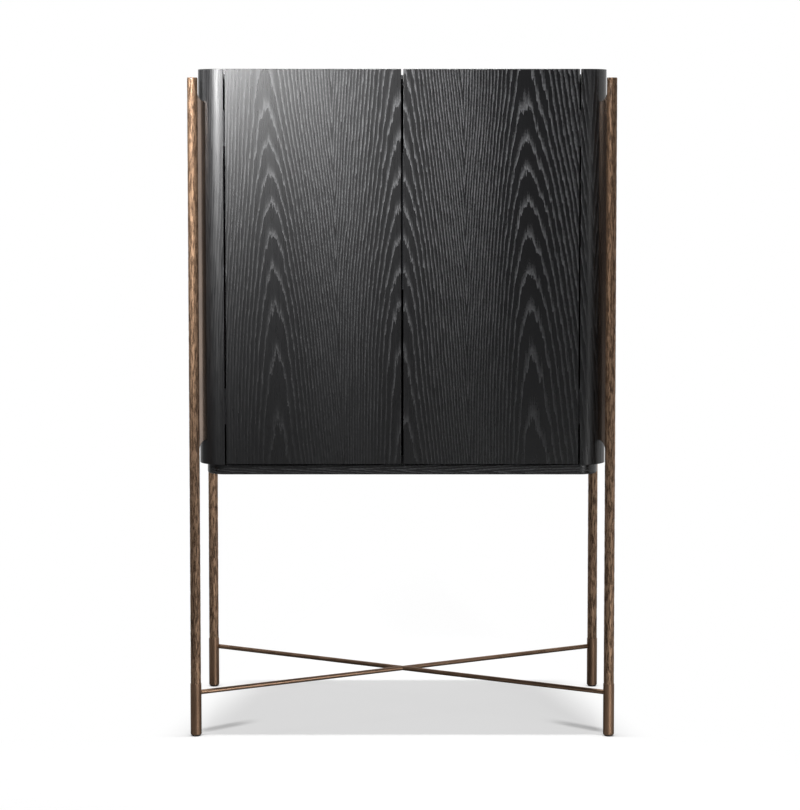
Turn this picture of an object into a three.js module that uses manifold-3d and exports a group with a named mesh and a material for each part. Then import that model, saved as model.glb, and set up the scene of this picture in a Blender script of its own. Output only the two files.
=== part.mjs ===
// Bar cabinet on four tall round legs, with two doors and a fold out shelf inside the right door.
// Millimetres, +Z up, the front faces -Y, the origin lies on the floor below the middle of the cabinet.

import * as THREE from 'three';
import { mergeVertices } from 'three/addons/utils/BufferGeometryUtils.js';
import Module from 'manifold-3d';

const wasm = await Module();
wasm.setup();

// Body
const bodyWidth = 960;
const bodyDepth = 450;
const skinBottom = 643;
const skinHeight = 927.5;
const cornerRadius = 55;
const postFrontFlat = 7.8;
const postSideFlat = 15;
const panelThickness = 18;
const seat = 0.3;

// Base slab and tray top
const slabInset = 17;
const slabThickness = 25.7;
const slabCornerRadius = 45;
const trayDepth = 21;

// Doors
const doorThickness = 22;
const doorSideGap = 3.8;
const doorMiddleGap = 5;
const doorBottomGap = 1.5;
const doorBackGap = 3;
const easedEdge = 1.5;

// Legs, feet and glides
const legRadius = 12.2;
const legBelowTop = 20.5;
const legAxisOut = 7.5;
const legAxisProud = 8;
const footRadius = 13;
const footHeight = 124.5;
const footEdgeRound = 3;
const footLedge = 0.6;
const footRoundSteps = 3;
const spigotRadius = 8;
const spigotLength = 59;
const spigotClearance = 0.15;
const glideRadius = 9.5;
const glideThickness = 2;
const glideStemRadius = 4;
const glideStemLength = 12;

// Stretcher rods
const rodRadius = 5.5;
const rodBelowFootTop = 21;

// Leg brackets
const bracketThickness = 10;
const bracketFromBottom = 57.5;
const bracketFromTop = 75;
const bracketFlare = 21;
const bracketTongue = 5;
const bracketFlareSteps = 6;

// Inner shelves and mirror
const lowerRoomHeight = 321;
const upperRoomHeight = 138.5;
const shelfFrontInset = 5;
const mirrorThickness = 3;

// Rack for stemmed glasses
const stemRackHeight = 38;
const stemRackPlate = 5;
const stemRackWeb = 8;
const stemRackFlange = 6;
const stemSlotWidth = 22;
const stemSlotCount = 4;
const stemRackFrontInset = 35;
const stemRackBackInset = 38.7;
const stemRackSideInset = 14;
const stemRackMiddleInset = 32.9;

// Cradle for lying bottles
const cradleScallopRadius = 42;
const cradleScallopCount = 4;
const cradleRidge = 6;
const cradleBase = 10;
const cradleDepth = 260;
const cradleFrontInset = 60;
const cradleSideInset = 8;
const cradleArcSteps = 10;

// Door hinges
const hingeLength = 84;
const hingeKnuckleCount = 3;
const hingeEndDistance = 95;
const hingeLeaf = 1;
const hingeLeafSeat = 0.2;
const hingeLeafDepth = 18;
const hingePinRadius = 0.8;
const hingeBoreClearance = 0.1;
const knuckleGap = 0.4;

// Magnetic door catches
const catchWidth = 40;
const catchHeight = 14;
const catchDepth = 16;
const catchFromMiddle = 14;
const strikeThickness = 1.8;
const strikeMargin = 2;
const touchGap = 0.2;

// Fold out shelf on the right door
const foldTopRoom = 32;
const foldThickness = 18;
const foldFreeSideInset = 42.5;
const foldHingeSideInset = 28.4;
const ledgeReach = 24.8;
const foldKnuckleRadius = 3;
const foldKnuckleCount = 7;
const foldPinRadius = 1.5;
const foldLeafThickness = 1.5;
const foldLeafReach = 18;
const keeperWidth = 36;
const keeperHeight = 20;
const keeperBelowEdge = 12;

// Swinging bracket below the fold out shelf
const gateReach = 150;
const gateHeight = 86;
const gateTipHeight = 18;
const gateThickness = 10;
const gatePlateWidth = 26;
const gatePlateThickness = 3;
const gateKnuckleHeight = 12;
const gatePinRadius = 2.5;
const gateBoreClearance = 0.1;
const gateWallGap = 0.8;
const gateTopGap = 0.5;
const gateFloorRoom = 13.5;
const gatePivotShare = 0.72;

// Faceting
const coarseSegments = 16;
const fineSegments = 28;
const cornerSegments = 14;
const overrun = 2;

// Derived places
const halfWidth = bodyWidth / 2;
const frontY = -bodyDepth / 2;
const backY = bodyDepth / 2;
const skinTop = skinBottom + skinHeight;
const slabTop = skinBottom - seat;
const slabBottom = slabTop - slabThickness;
const trayTop = skinTop - trayDepth;
const postWidth = cornerRadius + postFrontFlat;
const postDepth = cornerRadius + postSideFlat;
const postInnerX = halfWidth - postWidth;
const doorEdgeX = postInnerX - doorSideGap;
const doorBackY = frontY + doorThickness;
const carcassFrontY = doorBackY + doorBackGap;
const backPanelFrontY = backY - panelThickness;
const floorTop = skinBottom + panelThickness;
const topUnderside = trayTop - panelThickness;
const innerSideOuterX = postInnerX - seat;
const innerSideInnerX = innerSideOuterX - panelThickness;
const middleShelfTop = floorTop + lowerRoomHeight + panelThickness;
const upperShelfTop = topUnderside - upperRoomHeight;
const upperShelfUnderside = upperShelfTop - panelThickness;
const legHeight = skinTop - legBelowTop;
const legAxisHalfWidth = halfWidth + legAxisOut;
const legAxisY = bodyDepth / 2 + legAxisProud;
const rodHeight = footHeight - rodBelowFootTop;
const bracketBottom = skinBottom + bracketFromBottom;
const bracketTop = skinTop - bracketFromTop;
const hingeKnuckleRadius = doorSideGap / 2 - hingeLeafSeat;
const hingePivotX = postInnerX - doorSideGap / 2;
const hingePivotY = frontY + hingeKnuckleRadius + touchGap / 2;
const foldPivotY = doorBackY + ledgeReach + touchGap;
const foldLeftX = doorMiddleGap / 2 + foldFreeSideInset;
const foldWidth = doorEdgeX - foldHingeSideInset - foldLeftX;
const foldMiddleX = foldLeftX + foldWidth / 2;
const gateBottom = middleShelfTop + gateFloorRoom;
const ledgeBottom = gateBottom + gateHeight + gateTopGap;
const foldTop = ledgeBottom + foldThickness;
const foldReach = upperShelfUnderside - foldTopRoom - foldTop;

// Finishes
function finish(name, color, roughness, metalness) {
  return new THREE.MeshStandardMaterial({ name, color, roughness, metalness });
}

const stainedAsh = finish('stained_ash', 0x242527, 0.45, 0);
const innerAsh = finish('inner_ash', 0x2e2f31, 0.55, 0);
const roughBronze = finish('rough_bronze', 0x6e523c, 0.42, 0.9);
const smoothBronze = finish('smooth_bronze', 0x7d604a, 0.32, 0.9);
const darkSteel = finish('dark_steel', 0x1f1f20, 0.4, 0.8);
const mirrorGlass = finish('mirror_glass', 0xc9ced2, 0.03, 1);
const nylon = finish('nylon', 0x1a1a1a, 0.6, 0);

// Booleans
function toSolid(geometry) {
  const bare = geometry.clone();
  bare.deleteAttribute('normal');
  bare.deleteAttribute('uv');
  const merged = mergeVertices(bare);
  return new wasm.Manifold(new wasm.Mesh({
    numProp: 3,
    vertProperties: new Float32Array(merged.attributes.position.array),
    triVerts: new Uint32Array(merged.index.array),
  }));
}

function toGeometry(solid) {
  const mesh = solid.getMesh();
  const geometry = new THREE.BufferGeometry();
  geometry.setAttribute('position', new THREE.BufferAttribute(mesh.vertProperties, mesh.numProp));
  geometry.setIndex(new THREE.BufferAttribute(mesh.triVerts, 1));
  geometry.computeVertexNormals();
  return geometry;
}

function joined(first, ...others) {
  return toGeometry(others.reduce((sum, other) => sum.add(toSolid(other)), toSolid(first)));
}

function cut(body, ...tools) {
  return toGeometry(tools.reduce((rest, tool) => rest.subtract(toSolid(tool)), toSolid(body)));
}

// Simple solids
function boxBetween(x0, x1, y0, y1, z0, z1) {
  const box = new THREE.BoxGeometry(Math.abs(x1 - x0), Math.abs(y1 - y0), Math.abs(z1 - z0));
  return box.translate((x0 + x1) / 2, (y0 + y1) / 2, (z0 + z1) / 2);
}

// A cylinder that stands on z = bottom.
function upright(radius, bottom, height, segments = coarseSegments) {
  const cylinder = new THREE.CylinderGeometry(radius, radius, height, segments);
  return cylinder.rotateX(Math.PI / 2).translate(0, 0, bottom + height / 2);
}

// A cylinder along X, from x = start.
function lying(radius, start, length, segments = coarseSegments) {
  const cylinder = new THREE.CylinderGeometry(radius, radius, length, segments);
  return cylinder.rotateZ(Math.PI / 2).translate(start + length / 2, 0, 0);
}

// A solid of revolution about Z from [radius, height] pairs.
function turned(profile, segments = fineSegments) {
  const points = profile.map(([radius, height]) => new THREE.Vector2(radius, height));
  return new THREE.LatheGeometry(points, segments).rotateX(Math.PI / 2);
}

// An outline in plan, raised from z = bottom.
function raised(outline, bottom, height) {
  const shape = new THREE.Shape(outline.map(([x, y]) => new THREE.Vector2(x, y)));
  const solid = new THREE.ExtrudeGeometry(shape, { depth: height, bevelEnabled: false });
  return solid.translate(0, 0, bottom);
}

// An outline of [y, z] pairs, drawn out along X.
function drawnAlongX(outline, start, length) {
  const shape = new THREE.Shape(outline.map(([y, z]) => new THREE.Vector2(y, z)));
  const solid = new THREE.ExtrudeGeometry(shape, { depth: length, bevelEnabled: false });
  return solid.rotateX(Math.PI / 2).rotateZ(Math.PI / 2).translate(start, 0, 0);
}

// An outline of [x, z] pairs, drawn out along Y.
function drawnAlongY(outline, start, length) {
  const shape = new THREE.Shape(outline.map(([x, z]) => new THREE.Vector2(x, z)));
  const solid = new THREE.ExtrudeGeometry(shape, { depth: length, bevelEnabled: false });
  return solid.rotateX(Math.PI / 2).translate(0, start + length, 0);
}

function arc(centreX, centreY, radius, from, to, steps) {
  return Array.from({ length: steps + 1 }, (unused, i) => {
    const angle = from + ((to - from) * i) / steps;
    return [centreX + radius * Math.cos(angle), centreY + radius * Math.sin(angle)];
  });
}

const cabinet = new THREE.Group();
cabinet.name = 'bar_cabinet';

function place(name, geometry, material, parent = cabinet) {
  const mesh = new THREE.Mesh(geometry, material);
  mesh.name = name;
  parent.add(mesh);
  return mesh;
}

const cornerNames = [
  { name: 'front_left', sideX: -1, sideY: -1 },
  { name: 'front_right', sideX: 1, sideY: -1 },
  { name: 'rear_left', sideX: -1, sideY: 1 },
  { name: 'rear_right', sideX: 1, sideY: 1 },
];
const sideNames = [
  { name: 'left', sideX: -1 },
  { name: 'right', sideX: 1 },
];

// The bracket lies in the upright plane through the leg's axis and the middle of the round corner.
const cornerCentreX = halfWidth - cornerRadius;
const cornerCentreY = bodyDepth / 2 - cornerRadius;
const bracketRun = Math.hypot(legAxisHalfWidth - cornerCentreX, legAxisY - cornerCentreY);
const bracketAngle = Math.atan2(legAxisY - cornerCentreY, legAxisHalfWidth - cornerCentreX);
const bracketReach = bracketRun - cornerRadius;

function bracketDirection(sideX, sideY) {
  return Math.atan2(-sideY * Math.sin(bracketAngle), -sideX * Math.cos(bracketAngle));
}

// Body panels
function postOutline(sideX, sideY) {
  const outline = [
    [postInnerX, bodyDepth / 2 - postDepth],
    [halfWidth, bodyDepth / 2 - postDepth],
    ...arc(cornerCentreX, cornerCentreY, cornerRadius, 0, Math.PI / 2, cornerSegments),
    [postInnerX + easedEdge, bodyDepth / 2],
    [postInnerX, bodyDepth / 2 - easedEdge],
  ];
  return outline.map(([x, y]) => [sideX * x, sideY * y]);
}

function bracketSlot(sideX, sideY) {
  const slot = boxBetween(
    bracketReach - bracketTongue - seat, bracketRun,
    -bracketThickness / 2 - seat, bracketThickness / 2 + seat,
    bracketBottom - seat, bracketTop + seat,
  );
  slot.translate(bracketTongue, 0, 0);
  const tongueOnly = boxBetween(
    0, bracketReach + bracketTongue + seat,
    -bracketThickness, bracketThickness,
    bracketBottom - overrun, bracketTop + overrun,
  );
  const trimmed = toGeometry(toSolid(slot).intersect(toSolid(tongueOnly)));
  trimmed.rotateZ(bracketDirection(sideX, sideY));
  return trimmed.translate(sideX * legAxisHalfWidth, sideY * legAxisY, 0);
}

function addPosts() {
  for (const { name, sideX, sideY } of cornerNames) {
    const post = raised(postOutline(sideX, sideY), skinBottom, skinHeight);
    place(`corner_post_${name}`, cut(post, bracketSlot(sideX, sideY)), stainedAsh);
  }
}

// A board between the posts with a wing on each side that reaches the side panels.
function wingedOutline() {
  const wingX = halfWidth - panelThickness - seat;
  const wingY = bodyDepth / 2 - postDepth - seat;
  return [
    [-innerSideOuterX, carcassFrontY],
    [innerSideOuterX, carcassFrontY],
    [innerSideOuterX, -wingY],
    [wingX, -wingY],
    [wingX, wingY],
    [innerSideOuterX, wingY],
    [innerSideOuterX, backPanelFrontY - seat],
    [-innerSideOuterX, backPanelFrontY - seat],
    [-innerSideOuterX, wingY],
    [-wingX, wingY],
    [-wingX, -wingY],
    [-innerSideOuterX, -wingY],
  ];
}

function slabOutline() {
  const x = halfWidth - slabInset - slabCornerRadius;
  const y = bodyDepth / 2 - slabInset - slabCornerRadius;
  const quarter = Math.PI / 2;
  const corners = [[x, y], [-x, y], [-x, -y], [x, -y]];
  return corners.flatMap(([cx, cy], i) => (
    arc(cx, cy, slabCornerRadius, i * quarter, (i + 1) * quarter, cornerSegments)
  ));
}

function addBoards() {
  place('base_slab', raised(slabOutline(), slabBottom, slabThickness), stainedAsh);
  place('floor_panel', raised(wingedOutline(), skinBottom, panelThickness), innerAsh);
  place('top_panel', raised(wingedOutline(), topUnderside, panelThickness), stainedAsh);
  place('back_panel', boxBetween(
    -innerSideOuterX, innerSideOuterX, backPanelFrontY, backY, skinBottom, skinTop,
  ), stainedAsh);
  const wingY = bodyDepth / 2 - postDepth - seat;
  for (const { name, sideX } of sideNames) {
    place(`side_panel_${name}`, boxBetween(
      sideX * halfWidth, sideX * (halfWidth - panelThickness), -wingY, wingY, skinBottom, skinTop,
    ), stainedAsh);
    place(`inner_side_${name}`, boxBetween(
      sideX * innerSideOuterX, sideX * innerSideInnerX, carcassFrontY, backPanelFrontY - seat,
      floorTop + seat, topUnderside - seat,
    ), innerAsh);
  }
}

// Shelves, mirror, rack and cradle
function addInside() {
  const shelfEndX = innerSideInnerX - seat;
  const shelfFrontY = carcassFrontY + shelfFrontInset;
  const shelfBackY = backPanelFrontY - seat;
  for (const [name, top] of [['middle_shelf', middleShelfTop], ['upper_shelf', upperShelfTop]]) {
    place(name, boxBetween(
      -shelfEndX, shelfEndX, shelfFrontY, shelfBackY, top - panelThickness, top,
    ), innerAsh);
  }
  place('mirror_panel', boxBetween(
    -shelfEndX, shelfEndX, shelfBackY - mirrorThickness, shelfBackY,
    middleShelfTop + seat, upperShelfUnderside - seat,
  ), mirrorGlass);
  place('stemware_rack', stemRack(), smoothBronze);
  place('bottle_cradle', bottleCradle(), innerAsh);
}

// A top plate with T-shaped runners below it: the feet of the glasses slide in between them.
function stemRack() {
  const left = -innerSideInnerX + stemRackSideInset;
  const right = -stemRackMiddleInset;
  const pitch = (right - left) / stemSlotCount;
  const top = upperShelfUnderside - seat;
  const bottom = top - stemRackHeight;
  const plateZ = top - stemRackPlate;
  const flangeZ = bottom + stemRackFlange;
  const flangeHalf = (pitch - stemSlotWidth) / 2;
  const webHalf = stemRackWeb / 2;
  const outline = [[left, top], [left, bottom]];
  for (let i = 0; i <= stemSlotCount; i += 1) {
    const x = left + i * pitch;
    if (i > 0) {
      const web = i === stemSlotCount ? x - stemRackWeb : x - webHalf;
      outline.push([web, plateZ], [web, flangeZ], [x - flangeHalf, flangeZ], [x - flangeHalf, bottom]);
    }
    if (i < stemSlotCount) {
      const web = i === 0 ? x + stemRackWeb : x + webHalf;
      outline.push([x + flangeHalf, bottom], [x + flangeHalf, flangeZ], [web, flangeZ], [web, plateZ]);
    }
  }
  outline.push([right, bottom], [right, top]);
  const front = carcassFrontY + stemRackFrontInset;
  const back = backPanelFrontY - seat - mirrorThickness - stemRackBackInset;
  return drawnAlongY(outline, front, back - front);
}

// A low block with a round hollow for each bottle.
function bottleCradle() {
  const pitch = cradleScallopRadius * 2 + cradleRidge;
  const left = -innerSideInnerX + cradleSideInset;
  const bottom = floorTop + seat;
  const top = bottom + cradleBase + cradleScallopRadius;
  const right = left + pitch * cradleScallopCount + cradleRidge;
  const outline = [[left, top], [left, bottom], [right, bottom], [right, top]];
  for (let i = cradleScallopCount - 1; i >= 0; i -= 1) {
    const x = left + cradleRidge + cradleScallopRadius + i * pitch;
    outline.push(...arc(x, top, cradleScallopRadius, 0, -Math.PI, cradleArcSteps));
  }
  return drawnAlongY(outline, carcassFrontY + cradleFrontInset, cradleDepth);
}

// Legs, feet, glides and leg brackets
function legProfile() {
  const spigotBottom = footHeight - spigotLength;
  return [
    [0, spigotBottom],
    [spigotRadius, spigotBottom],
    [spigotRadius, footHeight + seat],
    [legRadius, footHeight + seat],
    [legRadius, legHeight - footLedge],
    [legRadius - footLedge, legHeight],
    [0, legHeight],
  ];
}

function footProfile() {
  const stemTop = glideThickness + glideStemLength;
  const boreBottom = footHeight - spigotLength - seat;
  const boreRadius = spigotRadius + spigotClearance;
  const stemBore = glideStemRadius + spigotClearance;
  const base = glideThickness + seat;
  const roundX = footRadius - footEdgeRound;
  const roundZ = base + footEdgeRound;
  const round = arc(roundX, roundZ, footEdgeRound, -Math.PI / 2, 0, footRoundSteps);
  return [
    [0, stemTop + seat],
    [stemBore, stemTop + seat],
    [stemBore, base],
    ...round,
    [footRadius, footHeight - footLedge],
    [footRadius - footLedge, footHeight],
    [boreRadius, footHeight],
    [boreRadius, boreBottom],
    [0, boreBottom],
  ];
}

function glideProfile() {
  return [
    [0, 0],
    [glideRadius, 0],
    [glideRadius, glideThickness],
    [glideStemRadius, glideThickness],
    [glideStemRadius, glideThickness + glideStemLength],
    [0, glideThickness + glideStemLength],
  ];
}

// Drawn along +X from the leg's axis: the ends sweep up and down the leg in a hollow curve.
function bracketSolid() {
  const rootX = legRadius + bracketFlare;
  const topZ = bracketTop + bracketFlare;
  const lowZ = bracketBottom - bracketFlare;
  const topCurve = arc(rootX, topZ, bracketFlare, -Math.PI / 2, -Math.PI, bracketFlareSteps);
  const lowCurve = arc(rootX, lowZ, bracketFlare, Math.PI, Math.PI / 2, bracketFlareSteps);
  const tip = bracketReach + bracketTongue;
  const outline = [
    [tip, bracketTop],
    ...topCurve,
    [0, topZ],
    [0, lowZ],
    ...lowCurve,
    [tip, bracketBottom],
  ];
  const blade = drawnAlongY(outline, -bracketThickness / 2, bracketThickness);
  const legCut = upright(legRadius + seat, 0, legHeight, fineSegments);
  return cut(blade, legCut);
}

function addLegs() {
  for (const { name, sideX, sideY } of cornerNames) {
    const corner = new THREE.Group();
    corner.position.set(sideX * legAxisHalfWidth, sideY * legAxisY, 0);
    cabinet.add(corner);
    place(`leg_${name}`, turned(legProfile()), roughBronze, corner);
    place(`foot_${name}`, turned(footProfile()), smoothBronze, corner);
    place(`glide_${name}`, turned(glideProfile(), coarseSegments), nylon, corner);
    const bracket = place(`leg_bracket_${name}`, bracketSolid(), smoothBronze, corner);
    bracket.rotation.z = bracketDirection(sideX, sideY);
  }
}

// Two rods cross between the feet: one runs through, the other meets it from both sides.
function addStretchers() {
  const span = Math.hypot(legAxisHalfWidth, legAxisY);
  const direction = Math.atan2(legAxisY, legAxisHalfWidth);
  const rod = new THREE.Group();
  rod.position.z = rodHeight;
  rod.rotation.z = direction;
  cabinet.add(rod);
  const footRoom = upright(footRadius + seat, -footHeight, footHeight * 2, fineSegments);
  const footCut = (x) => footRoom.clone().translate(x, 0, 0);
  const long = cut(lying(rodRadius, -span, span * 2), footCut(-span), footCut(span));
  place('stretcher_long', long, smoothBronze, rod);

  const crossing = lying(rodRadius + seat, -span, span * 2).rotateZ(2 * direction);
  const half = cut(lying(rodRadius, 0, span), crossing, footCut(span));
  const halfGroup = new THREE.Group();
  halfGroup.position.z = rodHeight;
  halfGroup.rotation.z = -direction;
  cabinet.add(halfGroup);
  place('stretcher_half_front', half, smoothBronze, halfGroup);
  const rearHalf = place('stretcher_half_rear', half.clone(), smoothBronze, halfGroup);
  rearHalf.rotation.z = Math.PI;
}

// Doors
function doorOutline(sideX) {
  const outline = [
    [doorMiddleGap / 2 + easedEdge, frontY],
    [doorEdgeX - easedEdge, frontY],
    [doorEdgeX, frontY + easedEdge],
    [doorEdgeX, doorBackY],
    [doorMiddleGap / 2, doorBackY],
    [doorMiddleGap / 2, frontY + easedEdge],
  ];
  return outline.map(([x, y]) => [sideX * x, y]);
}

function addDoors() {
  const bottom = skinBottom + doorBottomGap;
  for (const { name, sideX } of sideNames) {
    place(`door_${name}`, raised(doorOutline(sideX), bottom, skinTop - bottom), stainedAsh);
    const hingeBottoms = [
      ['lower', bottom + hingeEndDistance],
      ['upper', skinTop - hingeEndDistance - hingeLength],
    ];
    for (const [level, hingeBottom] of hingeBottoms) {
      addDoorHinge(`${level}_${name}`, sideX, hingeBottom);
    }
  }
}

// A leaf with outer knuckles and the pin on the post, and a leaf with the middle knuckle on the door.
function addDoorHinge(name, sideX, bottom) {
  const hinge = new THREE.Group();
  hinge.position.set(sideX * hingePivotX, hingePivotY, bottom);
  cabinet.add(hinge);
  const part = hingeLength / hingeKnuckleCount;
  const leafOuter = doorSideGap / 2 - hingeLeafSeat;
  const leafInner = leafOuter - hingeLeaf;
  const leafEnd = hingeLeafDepth;
  const postPlate = boxBetween(sideX * leafInner, sideX * leafOuter, 0, leafEnd, 0, hingeLength);
  const middleRoom = upright(hingeKnuckleRadius + knuckleGap / 2, part, part);
  const lowKnuckle = upright(hingeKnuckleRadius, 0, part - knuckleGap);
  const highKnuckle = upright(hingeKnuckleRadius, 2 * part + knuckleGap, part - knuckleGap);
  const pin = upright(hingePinRadius, 0, hingeLength - knuckleGap);
  const postLeaf = joined(cut(postPlate, middleRoom), lowKnuckle, highKnuckle, pin);
  place(`hinge_post_leaf_${name}`, postLeaf, darkSteel, hinge);

  const doorPlate = boxBetween(-sideX * leafInner, -sideX * leafOuter, 0, leafEnd, 0, hingeLength);
  const outerRoom = hingeKnuckleRadius + knuckleGap / 2;
  const lowRoom = upright(outerRoom, -overrun, part + overrun);
  const highRoom = upright(outerRoom, 2 * part, part + overrun);
  const knuckle = upright(hingeKnuckleRadius, part, part);
  const bore = upright(hingePinRadius + hingeBoreClearance, -overrun, hingeLength + 2 * overrun);
  const doorLeaf = cut(joined(cut(doorPlate, lowRoom, highRoom), knuckle), bore);
  place(`hinge_door_leaf_${name}`, doorLeaf, darkSteel, hinge);
}

function addCatches() {
  const strikeFront = doorBackY + touchGap;
  const strikeBack = strikeFront + strikeThickness;
  const top = topUnderside - seat;
  const bottom = top - catchHeight;
  for (const { name, sideX } of sideNames) {
    const near = sideX * catchFromMiddle;
    const far = sideX * (catchFromMiddle + catchWidth);
    place(`catch_magnet_${name}`, boxBetween(
      near, far, strikeBack + seat, strikeBack + seat + catchDepth, bottom, top,
    ), darkSteel);
    place(`catch_strike_${name}`, boxBetween(
      near, far, strikeFront, strikeBack, bottom + strikeMargin, top - strikeMargin,
    ), darkSteel);
  }
}

// One side of the long hinge, drawn flat: y runs away from the pivot, z = 0 is the top face.
function foldBoardOutline(reach) {
  const room = foldKnuckleRadius + knuckleGap;
  return [
    [seat, -foldThickness],
    [reach, -foldThickness],
    [reach, 0],
    [foldLeafReach + seat, 0],
    [foldLeafReach + seat, -foldLeafThickness - seat],
    [room, -foldLeafThickness - seat],
    [room, -room],
    [seat, -room],
  ];
}

function foldHingeLeaf(keepsEven) {
  const part = foldWidth / foldKnuckleCount;
  const start = -foldWidth / 2;
  const plate = boxBetween(start, -start, 0, foldLeafReach, -foldLeafThickness, 0);
  const rooms = [];
  const knuckles = [];
  for (let i = 0; i < foldKnuckleCount; i += 1) {
    const x = start + i * part;
    if ((i % 2 === 0) === keepsEven) {
      knuckles.push(lying(foldKnuckleRadius, x + knuckleGap / 2, part - knuckleGap));
    } else {
      rooms.push(lying(foldKnuckleRadius + knuckleGap, x - knuckleGap / 2, part + knuckleGap));
    }
  }
  const bore = lying(foldPinRadius + hingeBoreClearance, start - overrun, foldWidth + 2 * overrun);
  return cut(joined(cut(plate, ...rooms), ...knuckles), bore);
}

function mirroredOutline(outline) {
  return outline.map(([y, z]) => [-y, z]);
}

function addFoldShelf() {
  const pivot = new THREE.Group();
  pivot.position.set(foldMiddleX, foldPivotY, foldTop);
  cabinet.add(pivot);
  const start = -foldWidth / 2;
  const ledge = drawnAlongX(mirroredOutline(foldBoardOutline(ledgeReach)), start, foldWidth);
  place('shelf_ledge', ledge, stainedAsh, pivot);
  const fixedLeaf = foldHingeLeaf(true);
  fixedLeaf.rotateZ(Math.PI);
  place('shelf_hinge_fixed_leaf', fixedLeaf, smoothBronze, pivot);
  place('shelf_hinge_pin', lying(foldPinRadius, start, foldWidth), smoothBronze, pivot);

  // The shelf is put away upright against the door, its top face towards the door.
  const leaf = new THREE.Group();
  leaf.rotation.x = Math.PI / 2;
  pivot.add(leaf);
  place('fold_shelf', drawnAlongX(foldBoardOutline(foldReach), start, foldWidth), stainedAsh, leaf);
  place('shelf_hinge_moving_leaf', foldHingeLeaf(false), smoothBronze, leaf);

  const keeperTop = foldTop + foldReach - keeperBelowEdge;
  place('shelf_keeper', boxBetween(
    foldMiddleX - keeperWidth / 2, foldMiddleX + keeperWidth / 2,
    doorBackY + touchGap, foldPivotY - seat, keeperTop - keeperHeight, keeperTop,
  ), darkSteel);
}

// The swinging bracket is folded flat along the door, towards its free edge.
function addGate() {
  const radius = gateThickness / 2;
  const plateBackY = doorBackY + touchGap + gatePlateThickness;
  const pivotX = foldLeftX + foldWidth * gatePivotShare;
  const pivotY = plateBackY + gateWallGap + radius;
  const gate = new THREE.Group();
  gate.position.set(pivotX, pivotY, gateBottom);
  cabinet.add(gate);

  const pinRoom = gatePinRadius + gateBoreClearance;
  const lowerEnd = gateKnuckleHeight + knuckleGap;
  const upperStart = gateHeight - gateKnuckleHeight - knuckleGap;
  const bore = upright(pinRoom, -overrun, gateHeight + 2 * overrun);
  const lugBack = -radius - gateWallGap - gatePlateThickness;
  const plate = boxBetween(
    -gatePlateWidth / 2, gatePlateWidth / 2, lugBack, lugBack + gatePlateThickness, 0, gateHeight,
  );
  const lug = (z0) => joined(
    upright(radius, z0, gateKnuckleHeight),
    boxBetween(-radius, radius, lugBack, 0, z0, z0 + gateKnuckleHeight),
  );
  const upperLug = gateHeight - gateKnuckleHeight;
  place('gate_plate', cut(joined(plate, lug(0), lug(upperLug)), bore), smoothBronze, gate);

  const wingStart = radius;
  const outline = [
    [0, lowerEnd],
    [-wingStart, lowerEnd],
    [-gateReach, gateHeight - gateTipHeight],
    [-gateReach, gateHeight],
    [-wingStart - gateWallGap, gateHeight],
    [-wingStart - gateWallGap, upperStart],
    [0, upperStart],
  ];
  const wing = drawnAlongY(outline, -radius, gateThickness);
  const knuckle = upright(radius, lowerEnd, upperStart - lowerEnd);
  place('gate_bracket', cut(joined(wing, knuckle), bore), smoothBronze, gate);
  place('gate_pin', upright(gatePinRadius, 0, gateHeight), darkSteel, gate);
}

addPosts();
addBoards();
addInside();
addLegs();
addStretchers();
addDoors();
addCatches();
addFoldShelf();
addGate();

export default cabinet;
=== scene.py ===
"""Finished pieces of a bar cabinet with a fold out shelf, dressed over its packed frame."""

import math

import bmesh
import bpy
from bpy.props import FloatProperty, FloatVectorProperty, IntProperty, PointerProperty
from bpy.types import Operator, Panel, PropertyGroup
from mathutils import Matrix, Vector


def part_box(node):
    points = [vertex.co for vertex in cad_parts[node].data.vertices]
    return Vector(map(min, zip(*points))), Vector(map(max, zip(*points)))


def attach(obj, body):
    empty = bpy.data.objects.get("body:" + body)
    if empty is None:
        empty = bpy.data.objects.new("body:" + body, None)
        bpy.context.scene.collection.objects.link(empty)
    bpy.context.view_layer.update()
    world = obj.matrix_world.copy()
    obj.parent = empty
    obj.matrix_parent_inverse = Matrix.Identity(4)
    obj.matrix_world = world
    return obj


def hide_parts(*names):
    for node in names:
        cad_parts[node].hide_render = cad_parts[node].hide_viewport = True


bl_info = {
    "name": "Bar Cabinet With Fold Out Shelf",
    "version": (1, 0, 0),
    "blender": (4, 5, 0),
    "location": "View3D > Sidebar > Bar Cabinet",
    "description": "Builds the finished pieces of a two door bar cabinet on bronze legs",
    "category": "Add Mesh",
}

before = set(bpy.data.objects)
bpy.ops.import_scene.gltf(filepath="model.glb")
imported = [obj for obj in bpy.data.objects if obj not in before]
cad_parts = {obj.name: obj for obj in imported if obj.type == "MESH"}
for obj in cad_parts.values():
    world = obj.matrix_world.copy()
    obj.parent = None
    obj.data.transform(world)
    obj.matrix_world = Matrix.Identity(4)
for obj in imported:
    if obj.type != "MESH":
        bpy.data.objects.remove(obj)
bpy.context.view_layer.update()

SIDES = ("left", "right")

# Each corner's name, which way along y it lies and which way along x
CORNERS = (
    ("front_left", -1, -1), ("front_right", -1, 1), ("rear_left", 1, -1), ("rear_right", 1, 1),
)
GRAIN_MAP = "Grain"
UPWARD_MAP = "Upward"

WHITE = (1.0, 1.0, 1.0, 1.0)

# Points closer than this are one, faces flatter than this are joined, and edges
# sharper than this are rounded
WELD = 1e-6
FLAT_ANGLE = math.radians(0.5)
ROUND_ANGLE = math.radians(32)

# Heights between which the smooth bronze goes over from bare to lacquered
LACQUER_RISE = (0.4, 0.6)

# A face counts as level when the z part of its normal is larger than this, and as a
# board's end when the x part is
FACING = 0.71

# Where the grain starts on faces that show another side of a board
END_START = 1.2
EDGE_START = 0.17
LEVEL_START = 1.15
LEVEL_EDGE_START = 0.48

QUARTER = math.pi / 2


# Sizes and colours


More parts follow.
